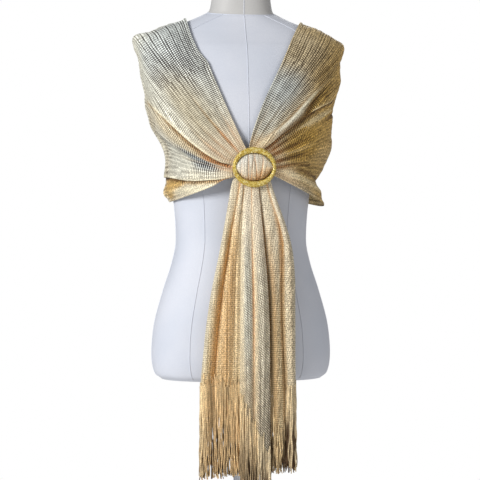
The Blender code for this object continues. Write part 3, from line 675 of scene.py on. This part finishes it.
def section_rings(sections, levels):
    """Closed rings of a superellipse with its own front and back depths and a forward tilt."""
    rows = [(i, *section) for i, section in enumerate(sections)]
    at = np.linspace(0, len(sections) - 1, levels)
    height, half_width, front, back, tilt = read_table(rows, at).T[:, :, None]
    angle = circle(FORM_SEGMENTS)
    side, depth = (np.sign(w) * np.abs(w) ** (2 / SQUARENESS) for w in (np.cos(angle), np.sin(angle)))
    y = np.where(depth > 0, back, front) * depth
    return stacked(half_width * side, y, height + y * np.tan(np.radians(tilt)))


def closed_loft(name, rings, material):
    count, segments = rings.shape[:2]
    points = np.concatenate([rings.reshape(-1, 3), [rings[0].mean(0), rings[-1].mean(0)]])
    j = np.arange(segments)
    ahead = (j + 1) % segments
    top, end = (count - 1) * segments, count * segments
    faces = [*grid_faces(count, segments).tolist(), *stacked(ahead, j, end).tolist(),
             *stacked(top + j, top + ahead, end + 1).tolist()]
    return mesh_object(name, points, faces, material, sharp=50)


def seam_tubes(name, rings, columns, material):
    """The form's seams: raised cords of cover cloth that follow its surface."""
    normals = unit(np.cross(np.roll(rings, -1, 1) - np.roll(rings, 1, 1), np.gradient(rings, axis=0)))
    paths = [rings[:, column] + 0.15 * normals[:, column] for column in columns]
    return mesh_object(name, *tubes(paths, 0.75), material)


def dress_form():
    cover = form_material("form_cover", (212, 215, 224), (202, 207, 218), (190, 195, 209))
    # The neck's cover is a darker, warmer grey copy of the torso's: painted shade on the neck.
    neck_shaded_cover = form_material("form_neck_shaded_cover", (194, 193, 191), (186, 185, 183), (176, 175, 174))
    torso_rings, neck_rings = section_rings(TORSO, 190), section_rings(NECK, 60)
    torso = closed_loft("form_torso_cover", torso_rings, cover)
    neck = closed_loft("form_neck_shaded_cover", neck_rings, neck_shaded_cover)
    back, front = FORM_QUARTER, 3 * FORM_QUARTER
    seams = seam_tubes("form_seams", torso_rings[4:],
                       (0, 2 * FORM_QUARTER, front, back, front - 17, front + 17, back - 18, back + 18),
                       cover)
    centre = seam_tubes("form_neck_seams", neck_rings[2:-6], (front, back), cover)
    ring = torso_rings[-1] * 0.5 + neck_rings[0] * 0.5
    loop = np.concatenate([ring, ring[:1]])[None]
    outward = unit(loop * np.array([1, 1, 0]))
    join = mesh_object("form_neck_join", *tubes(loop + 0.2 * outward, 0.9), cover)
    hand_in(torso, "form", "form_torso")
    hand_in(neck, "form", "form_neck")
    for piece in (seams, centre, join):
        hand_in(piece, "form")
    for node, material in (("form_pole", steel_material()), ("form_base", base_material())):
        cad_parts[node].data.materials.clear()
        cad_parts[node].data.materials.append(material)
    return torso


# --- Wrap ---


def half_wrap(threads, side, along, across):
    """Plain cloth from the buckle (along 0) over the crest (1) to the centre back (2)."""
    ring_angle, chest_x, chest_z, crest_x, crest_z, reach = read_table(threads, across).T
    ring_angle = np.radians(ring_angle)
    ring = stacked(BUCKLE_X + WING_END_HALF_WIDTH * np.cos(ring_angle),
                   BUCKLE_Y + WING_END_SET_BACK,
                   BUCKLE_Z + WING_END_HALF_HEIGHT * np.sin(ring_angle))
    chest = stacked(side * chest_x, -CHEST_FRONT, chest_z)
    crest = stacked(side * crest_x, CREST_Y, crest_z)
    middle = stacked(0, BACK_DEPTH, BACK_TOP + (BACK_HEM - BACK_TOP) * across)
    front = [ring, chest, crest - stacked(0, reach, 0), crest]
    back = [crest, crest + (0, BACK_REACH, 0), middle + (side * BACK_SPREAD, 0, 0), middle]
    return np.array([bezier(front, t) if t <= 1 else bezier(back, t - 1) for t in along])


def off_the_form(grid, form_tree, gap):
    """The grid with each point that is nearer to the form than the gap moved out to it."""
    moved = grid.copy()
    for index in np.ndindex(grid.shape[:2]):
        point = Vector(grid[index])
        nearest, normal, _, _ = form_tree.find_nearest(point)
        if (point - nearest).dot(normal) < gap:
            moved[index] = nearest + normal * gap
    return moved


def fold_shape(kind, s, height, width):
    """A fold's rise, its sideways shift, and its painted shade, below 0 a painted highlight on a crest,
    at s across it.
    """
    q = s / width
    strong = share(height / 8)
    if kind == "ridge":
        return height * np.exp(-q**2), 0, -np.exp(-2 * q**2) * strong * (width < 15)
    if kind == "crease":
        shape = np.exp(-1.2 * np.sqrt(q**2 + 0.05))
        return -height * shape, 0, np.exp(-q**2 * 1.8) * share(height / 6)
    rise = height * np.exp(0.22 * np.minimum(q, 0)) / (1 + np.exp(np.clip(6 * q, -40, 40)))
    shift = -1.75 * width * q * np.exp(-q**2) * share(height / 5)
    return rise, shift, np.where(q > -0.1, bell(q, 0.7, 0.8) * share(height / 5),
                                 -strong * bell(q, -0.5, 0.5))


def folded(plain, turn, across):
    """The folds' rise along the cloth's normals, their shift across it, and each point's painted shade.
    """
    arc = arc_length(plain, 1)
    rise, shift, painted_shade, crest = np.zeros((4, *arc.shape))
    for kind, height, width, path in FOLDS:
        path = sorted(path)
        at, size = read_table(path, turn).T
        size = np.where((turn >= path[0][0]) & (turn <= path[-1][0]), size, 0)
        centre = np.array([np.interp(a, across, row) for a, row in zip(at, arc)])
        one = fold_shape(kind, arc - centre[:, None], height * size[:, None] * np.ones_like(arc), width)
        rise += one[0]
        shift += one[1]
        painted_shade = np.maximum(painted_shade, one[2])
        crest = np.minimum(crest, one[2])
    return rise, shift, np.where(painted_shade > 0.05, painted_shade, crest)


def ring_pleats(along, across, rng):
    """Small pleats that fan out of the buckle and fade away from it."""
    fan = 0.8 * share(1 - along / 0.42) ** 1.6 * np.clip(along / 0.03, 0.25, 1)
    total = 0
    for count, height in ((15, 1.5), (26, 0.8), (41, 0.35)):
        phase = rng.random() * 6.3
        bend = 0.9 * np.sin(3 * along + rng.random() * 6.3)[:, None]
        wave = np.sin(math.tau * count * across + phase + bend
                      + 1.3 * np.sin(math.tau * 3 * across + phase))
        total = total + height * (1 - 2 * np.abs(wave) ** 0.8) * 0.8
    return total * fan[:, None]


def tone_field(patches, turn, across, painted_shade):
    """Peach, silver and openness of the knit as colour, with its painted shade as alpha, below 0 where a
    crest is painted lighter, and the gold.
    """
    weight = np.full((len(turn), len(across)), 0.1)
    values = np.multiply.outer((0.6, 0.05, 0.3, 0.4), weight)
    for middle, place, reach, place_reach, *wanted in patches:
        near = bell(turn[:, None], middle, reach) * bell(across, place, place_reach)
        weight = weight + near
        values += np.multiply.outer(wanted, near)
    opened, peach, silver, gold = values / weight
    return stacked(peach, silver, opened, painted_shade), gold


def wrap_piece(form_tree, material):
    rng = np.random.default_rng(RNG_SEED)
    front = 1 - (1 - even(36)) ** 1.15
    along = np.concatenate([front, 1 + even(17)[1:]])
    across = even(61)
    plain = np.concatenate([half_wrap(WING_RIGHT, -1, along, across),
                            half_wrap(WING_LEFT, 1, along, across)[-2::-1]])
    lift = off_the_form(plain, form_tree, SLACK_GAP) - plain
    for _ in range(12):
        lift[1:-1] = 0.5 * lift[1:-1] + 0.25 * (lift[:-2] + lift[2:])
        lift[:, 1:-1] = 0.5 * lift[:, 1:-1] + 0.25 * (lift[:, :-2] + lift[:, 2:])
    plain = off_the_form(plain + lift, form_tree, SLACK_GAP)
    turn = np.concatenate([along, 4 - along[-2::-1]])
    turn = np.interp(np.linspace(0, len(turn) - 1, WRAP_ROWS), np.arange(len(turn)), turn)
    plain = refined(plain, WRAP_ROWS, WRAP_COLUMNS)
    across = even(WRAP_COLUMNS)
    rise, shift, painted_shade = folded(plain, turn, across)
    shift += read_table(EDGE_STEP, turn) * share(1 - across / 0.22) ** 1.5
    from_buckle = np.minimum(turn, 4 - turn)
    rise += ring_pleats(from_buckle, across, rng)
    # Courses lie square to the wrap's lines, and run from the centre back along the middle line.
    length = arc_length(plain, 0)
    length -= length[WRAP_ROWS // 2]
    ahead, sideways = (np.gradient(plain, axis=axis) for axis in (0, 1))
    lines = unit(ahead)
    lag = summed((np.diff(plain, axis=1) * (lines[:, 1:] + lines[:, :-1]) / 2).sum(2), 1)
    middle = WRAP_COLUMNS // 2
    course_u = length[:, middle, None] + lag - lag[:, middle, None]
    cloth_v = CLOTH_WIDTH * across
    slack = (waves(cloth_v, length, rng, 46, 420) * 0.3
             + waves(cloth_v, length, rng, 17, 200) * 0.14)
    rise += slack * np.clip(from_buckle / 0.3, 0.2, 1)[:, None]
    grid = (plain + unit(np.cross(ahead, sideways)) * rise[:, :, None]
            + unit(sideways) * shift[:, :, None])
    grid = off_the_form(grid, form_tree, FORM_GAP)
    tone, gold = tone_field(WRAP_TONE, turn, across, painted_shade)
    piece = sheet_object("stole_wrap", grid, material, stacked(course_u, cloth_v, gold), tone)
    return hand_in(piece, "stole_cloth", "stole_wing_right", "stole_back", "stole_wing_left")


# --- Tails, fringe and gather ---


def hanging(lines, top, hem, steps, narrow):
    """A hanging tail between two level lines, as a grid of points with their painted shade."""
    part = np.arange((len(lines) - 1) * steps + 1) / steps
    dropped = even(TAIL_LEVELS)[:, None]
    heights = top + (hem - top) * dropped
    table = np.column_stack([STATIONS, np.array(lines)[:, :4].T])[::-1]
    front = np.column_stack([np.delete(STATIONS, 2), np.array(lines)[:, 4:].T])[::-1]
    x_lines, front_lines = (read_table(rows, heights.ravel()).reshape(*heights.shape, len(lines))
                            for rows in (table, front))
    cell = np.minimum(part.astype(int), len(lines) - 2)
    t = part - cell
    column = np.arange(len(part))
    a, b = front_lines[:, column, cell], front_lines[:, column, cell + 1]
    from_ridge = np.where(a > b, t, 1 - t)
    round_ridge = (RIDGE_SOFT * (0.5 + 0.5 * np.cos(np.pi * from_ridge))
                   + (1 - RIDGE_SOFT) * (1 - from_ridge**2) ** RIDGE_POWER)
    low, high = np.minimum(a, b), np.maximum(a, b)
    x = x_lines[:, column, cell] * (1 - t) + x_lines[:, column, cell + 1] * t
    x += TAIL_DRAW_IN * np.maximum(heights - TAIL_TOP, 0) * (BUCKLE_X - x)
    relief = np.maximum(share((high - low) / 9), 0.65 * (1 - 4 * dropped))
    painted_shade = smooth(1 - from_ridge, 0.55, 0) ** (narrow * (1.2 - 0.6 * dropped))
    return (stacked(x, TAIL_Y - low - (high - low) * round_ridge, heights),
            painted_shade * relief * (0.85 - 0.25 * dropped))


def tail_piece(node, lines, hem, steps, material, rng, slant, narrow, patches, bands=()):
    count = (len(lines) - 1) * steps + 1
    spread, dropped = even(count), even(TAIL_LEVELS)
    top_x = np.interp(spread, even(len(lines)), [line[0] for line in lines])
    beside = np.abs(top_x - BUCKLE_X)
    top = TAIL_TOP + TAIL_TOP_ARC * beside ** 2 + TAIL_TUCK * np.maximum(beside - TAIL_TUCK_FROM, 0)
    grid, painted_shade = hanging(lines, top, read_table(hem, spread)[:, 0], steps, narrow)
    painted_shade *= smooth(np.minimum(spread, 1 - spread), 0, 1 / (len(lines) - 1))
    # Bands of painted shade down the tail.
    for across, reach, depth in bands:
        band = depth * bell(spread, across, reach) * smooth(dropped, 0, 0.45)[:, None]
        painted_shade = np.maximum(painted_shade, band)
    arc = arc_length(grid, 1)
    arc -= arc[:, count // 2, None]
    down = TAIL_TOP - grid[:, :, 2]
    slack = waves(arc, down, rng, 9, 260) * 0.22 + waves(arc, down, rng, 24, 300) * 0.4
    grid[:, :, 1] -= slack * np.clip(down / 120, 0.1, 1)
    lean = math.tan(math.radians(slant))
    tone, gold = tone_field(patches, dropped, spread, painted_shade)
    cloth = stacked(down - arc * lean * 2.4, arc + down * lean, gold)
    piece = sheet_object(node + "_cloth", grid, material, cloth, tone)
    return hand_in(piece, "stole_cloth", node), np.column_stack([grid[-1], tone[-1], gold[-1]])


def fringe_piece(node, hem, tips, strands, dark, dusk, material, rng):
    """Yarns hanging from a hem: a little wavy, drawn together in clumps, uneven at both ends.

    They hang in three ranks: the fronts of the two behind are painted in the front one's shade.
    Dark is the share of yarns in the first of these two, and dusk how far the front rank itself is
    painted darker towards its tips, as shade. The front rank also carries the tail's painted shade
    from the hem.
    """
    count, sides = 17, 6
    place = (np.arange(strands) + 0.5 + 0.5 * (rng.random(strands) - 0.5)) / strands
    pick = (0.618 * np.arange(strands) + 0.3 * rng.random(strands)) % 1
    # Past seven tenths along the hem more yarns hang behind, painted in shade.
    pick -= 0.36 * smooth(place, 0.7, 0.8)
    rank = np.where(pick < dark, 1, np.where(pick < dark + 0.25, 2, 0))
    rank[:5] = rank[-5:] = 0
    behind = rank > 0
    at = place * (len(hem) - 1)
    columns = np.stack([np.interp(at, np.arange(len(hem)), column) for column in hem.T])
    peach, silver, _, shaded, gold = columns[3:, :, None]
    start = columns[:3].T
    start[:, 2] += np.where(behind, 2, 1.5 + 24 * rng.random(strands) ** 2)
    tip = tips[0] + (tips[1] - tips[0]) * place + 12 * (rng.random(strands) - 0.6)
    clump = np.floor(np.cumsum(0.08 + 0.17 * rng.random(strands))).astype(int)
    middle = np.array([start[clump == c].mean(0) for c in clump])
    t = even(count)
    draw = np.where(behind, 0.1, 0.45 + 0.45 * rng.random(strands))[:, None] * t ** 0.5
    x = start[:, :1] + (middle[:, :1] - start[:, :1]) * draw
    y = start[:, 1:2] + (start[:, 1].mean() - start[:, 1:2]) * 0.35 * t
    y += np.array((-0.9, 2.4, 5.2))[rank][:, None]
    z = start[:, 2:] + (tip[:, None] - start[:, 2:]) * t
    each = rng.random((6, strands, 1))
    for axis, size, (long, early, short, late) in ((x, 2, each[:4]), (y, 1.8, each[2:])):
        axis += size * np.sin(math.tau * ((0.7 + 0.8 * long) * t + early)) * t ** 0.8
        axis += 0.8 * np.sin(math.tau * ((3 + 3 * short) * t + late)) * t ** 0.8
    x += (rng.random((strands, 1)) - 0.5) * 5 * t ** 2
    radius = (0.95 + 0.35 * rng.random((strands, 1))) * (1 - 0.35 * t ** 8)
    points, faces = tubes(stacked(x, y, z), radius, sides)
    points = points.reshape(strands, count, sides, 3)
    number, side = np.arange(strands)[:, None, None], np.arange(sides)
    strand = stacked((start[:, 2:] - z)[..., None], math.tau * side / sides, number)
    front = share(shaded) * 0.5 + dusk * smooth(t, 0, 0.8)
    shade = np.where(behind[:, None], smooth(t, 0.15, 0.65), front)
    # The shade is painted only on the side of each yarn that faces forward.
    turned = smooth(y[..., None] - points[..., 1], -0.8, 0)
    tone = stacked(*(value[..., None] for value in (peach, silver, gold)), shade[..., None] * turned)
    cell_map = stacked((number + 0.1 + 0.8 * side / (sides - 1)) / strands, 0.005 + 0.99 * t[:, None])
    piece = mesh_object(node + "_yarns", points, faces, material, {"strand": strand, "tone": tone},
                        cell_map)
    return hand_in(piece, "fringe", node)


def gather_piece(material):
    """The puff of pleated cloth that passes through the buckle."""
    drop, front = read_table(GATHER_PROFILE, even(91)).T[:, :, None]
    spread = np.linspace(-1, 1, 171)
    half_height = GATHER_HALF_HEIGHT * (1 - 0.82 * np.abs(spread) ** 2.6)
    lens = np.sqrt(1 - 0.62 * spread**2)
    bulge = share(front / front.max())
    pleat = painted_shade = 0
    for centre, depth, width, lean, bow in GATHER_PLEATS:
        off = (spread - centre - lean * drop - bow * drop ** 2) / width
        pleat = pleat + depth * np.exp(-1.1 * np.sqrt(off**2 + 0.05))
        painted_shade = np.maximum(painted_shade, np.exp(-1.5 * off**2) * depth / 6)
    x = BUCKLE_X + GATHER_HALF_WIDTH * spread
    y = BUCKLE_Y + WING_END_SET_BACK - front * lens + (pleat - 1) * bulge ** 1.2 * lens
    rise = drop * half_height
    # The puff's tone paints light and shade: silver towards the upper left, and towards the lower right
    # painted shade, more gold and less open knit; its pleats are painted in shade too.
    lower_right_shade = share(0.5 * spread - drop - 0.2)
    tone = stacked(0.3 + 0.14 * np.clip(-drop, -1, 1), share(0.3 + 0.5 * drop - 0.4 * spread),
                   0.48 - 0.2 * lower_right_shade, share(0.85 * painted_shade + 0.7 * lower_right_shade))
    piece = sheet_object("stole_gather_puff", stacked(x, y, BUCKLE_Z + rise), material,
                         stacked(rise, 2.2 * x, 0.9 * lower_right_shade), tone)
    return hand_in(piece, "stole_cloth", "stole_gather")


def buckle_piece(rng):
    """The oval rim with its glittering grains, and the bar across the back."""
    steps, sides = 200, 28
    angle, turn = circle(steps)[:, None], circle(sides)
    width = RIM_WIDTH_SIDE + (RIM_WIDTH_TOP - RIM_WIDTH_SIDE) * np.sin(angle) ** 2
    inset = width / 2 * (1 - np.cos(turn))
    rim = stacked(BUCKLE_X + (BUCKLE_HALF_WIDTH - inset) * np.cos(angle),
                  BUCKLE_Y + RIM_DEPTH / 2 * np.sin(turn),
                  BUCKLE_Z + (BUCKLE_HALF_HEIGHT - inset) * np.sin(angle))
    normals = unit(np.cross(*(np.roll(rim, -1, axis) - np.roll(rim, 1, axis) for axis in (0, 1))))
    normals *= np.sign(normals[0, 0, 0])
    points = [rim.reshape(-1, 3)]
    # Grains are small octahedra, squashed flat on the rim and turned at random.
    grain = np.concatenate([np.eye(3), -np.eye(3)])[[0, 3, 1, 4, 2, 5]]
    around = ((0, 2), (2, 1), (1, 3), (3, 0))
    grain_faces = np.array([(i, j, 4) for i, j in around] + [(j, i, 5) for i, j in around])
    for _ in range(GRAINS):
        i, j = rng.integers(steps), rng.integers(sides)
        axes, _ = np.linalg.qr(rng.normal(size=(3, 3)))
        size = 0.45 + 0.4 * rng.random()
        points.append(rim[i, j] + normals[i, j] * 0.1 + rng.normal(size=3) * 0.25 + grain @ axes * size)
    first = steps * sides
    triangles = first + 6 * np.arange(GRAINS)[:, None, None] + grain_faces
    bar_half = BUCKLE_HALF_WIDTH - RIM_WIDTH_SIDE / 2
    bar_path = stacked(BUCKLE_X + np.linspace(-bar_half, bar_half, 9), BUCKLE_Y + BAR_SET_BACK, BUCKLE_Z)
    bar_points, bar_faces = tubes(bar_path[None], BAR_RADIUS, 12)
    faces = [*grid_faces(steps, sides, round_rows=True).tolist(),
             *(bar_faces + first + 6 * GRAINS).tolist(), *triangles.reshape(-1, 3).tolist()]
    piece = mesh_object("buckle_rim", np.concatenate([*points, bar_points]), faces, glitter_material(),
                        sharp=35)
    return hand_in(piece, "buckle", "buckle")


# --- Stage, camera and light ---


def stage():
    scene = bpy.context.scene
    camera = bpy.data.cameras.new("camera")
    camera.sensor_width = SENSOR
    camera.lens = SENSOR * CAMERA_DISTANCE / FRAME_WIDTH
    scene.camera = linked("camera", camera)
    sin, cos = math.sin(CAMERA_YAW), math.cos(CAMERA_YAW)
    scene.camera.location = Vector((-CAMERA_DISTANCE * sin + CAMERA_ASIDE * cos,
                                    -CAMERA_DISTANCE * cos - CAMERA_ASIDE * sin, CAMERA_HEIGHT)) * MM
    scene.camera.rotation_euler = (math.radians(90), 0, -CAMERA_YAW)

    bpy.ops.mesh.primitive_circle_add(vertices=128, radius=2.3, fill_type="NGON")
    floor = bpy.context.object
    floor.name = "floor"
    floor.location.z = -0.0005
    floor.data.materials.append(paper_material())

    # The world lights the scene softly and shows as white paper.
    scene.world = bpy.data.worlds.new("studio")
    scene.world.use_nodes = True
    nodes, links = scene.world.node_tree.nodes, scene.world.node_tree.links
    both = nodes.new("ShaderNodeMixShader")
    links.new(nodes.new("ShaderNodeLightPath").outputs["Is Camera Ray"], both.inputs[0])
    for slot, shader, colour, strength in (
            (1, nodes["Background"], (0.92, 0.95, 1, 1), 0.34),
            (2, nodes.new("ShaderNodeBackground"), (1, 1, 1, 1), 1)):
        shader.inputs["Color"].default_value = colour
        shader.inputs["Strength"].default_value = strength
        links.new(shader.outputs[0], both.inputs[slot])
    links.new(both.outputs[0], nodes["World Output"].inputs["Surface"])

    middle = Vector((0, -0.1, 1.1))
    for name, place, size, power, colour in (
            ("key", (-2, -1.7, 1.9), 1, 66, (1, 0.99, 0.97)),
            ("fill", (1.8, -2, 1.2), 1.6, 10, (1, 0.9, 0.76)),
            ("rim_back", (0.6, 2, 2.2), 1.4, 16, (1, 1, 1))):
        light = bpy.data.lights.new(name, "AREA")
        light.shape = "DISK"
        light.size = size
        light.energy = power
        light.color = colour
        lamp = linked(name, light)
        lamp.location = place
        lamp.rotation_euler = (middle - Vector(place)).to_track_quat("-Z", "Y").to_euler()
    scene.view_settings.view_transform = "Standard"
    scene.view_settings.look = "None"


def main():
    stage()
    torso = dress_form()
    form_tree = BVHTree.FromPolygons([vertex.co / MM for vertex in torso.data.vertices],
                                     [tuple(face.vertices) for face in torso.data.polygons])
    rng = np.random.default_rng(RNG_SEED)
    # Peach yarn's own colour, and the orange painted into its folds' shade.
    pale, orange_shade = (250, 214, 170), (242, 160, 80)
    knit = cloth_material("stole_knit", 6.3, 3.85, 1, 100, 1.1, pale, orange_shade, (330, 415))
    under_knit = cloth_material("tail_under_knit", 5, 3.6, 0.35, 60, 0.45, (238, 200, 138),
                                (238, 164, 66))
    over_knit = cloth_material("tail_over_knit", 4.6, 4.3, 0.6, 25, 0.7, pale, orange_shade)
    wrap = wrap_piece(form_tree, knit)
    under, under_hem = tail_piece("tail_under", TAIL_UNDER, HEM_UNDER, 24, under_knit, rng, 0, 0.7,
                                  UNDER_TONE, SHADE_UNDER)
    over, over_hem = tail_piece("tail_over", TAIL_OVER, HEM_OVER, 40, over_knit, rng, 12, 4, OVER_TONE)
    yarn = yarn_material()
    fringe_under = fringe_piece("fringe_under", under_hem, TIPS_UNDER, YARNS_UNDER, 0.3, 0.22, yarn, rng)
    fringe_over = fringe_piece("fringe_over", over_hem, TIPS_OVER, YARNS_OVER, 0.4, 0.6, yarn, rng)
    gather = gather_piece(knit)
    buckle_piece(rng)


main()
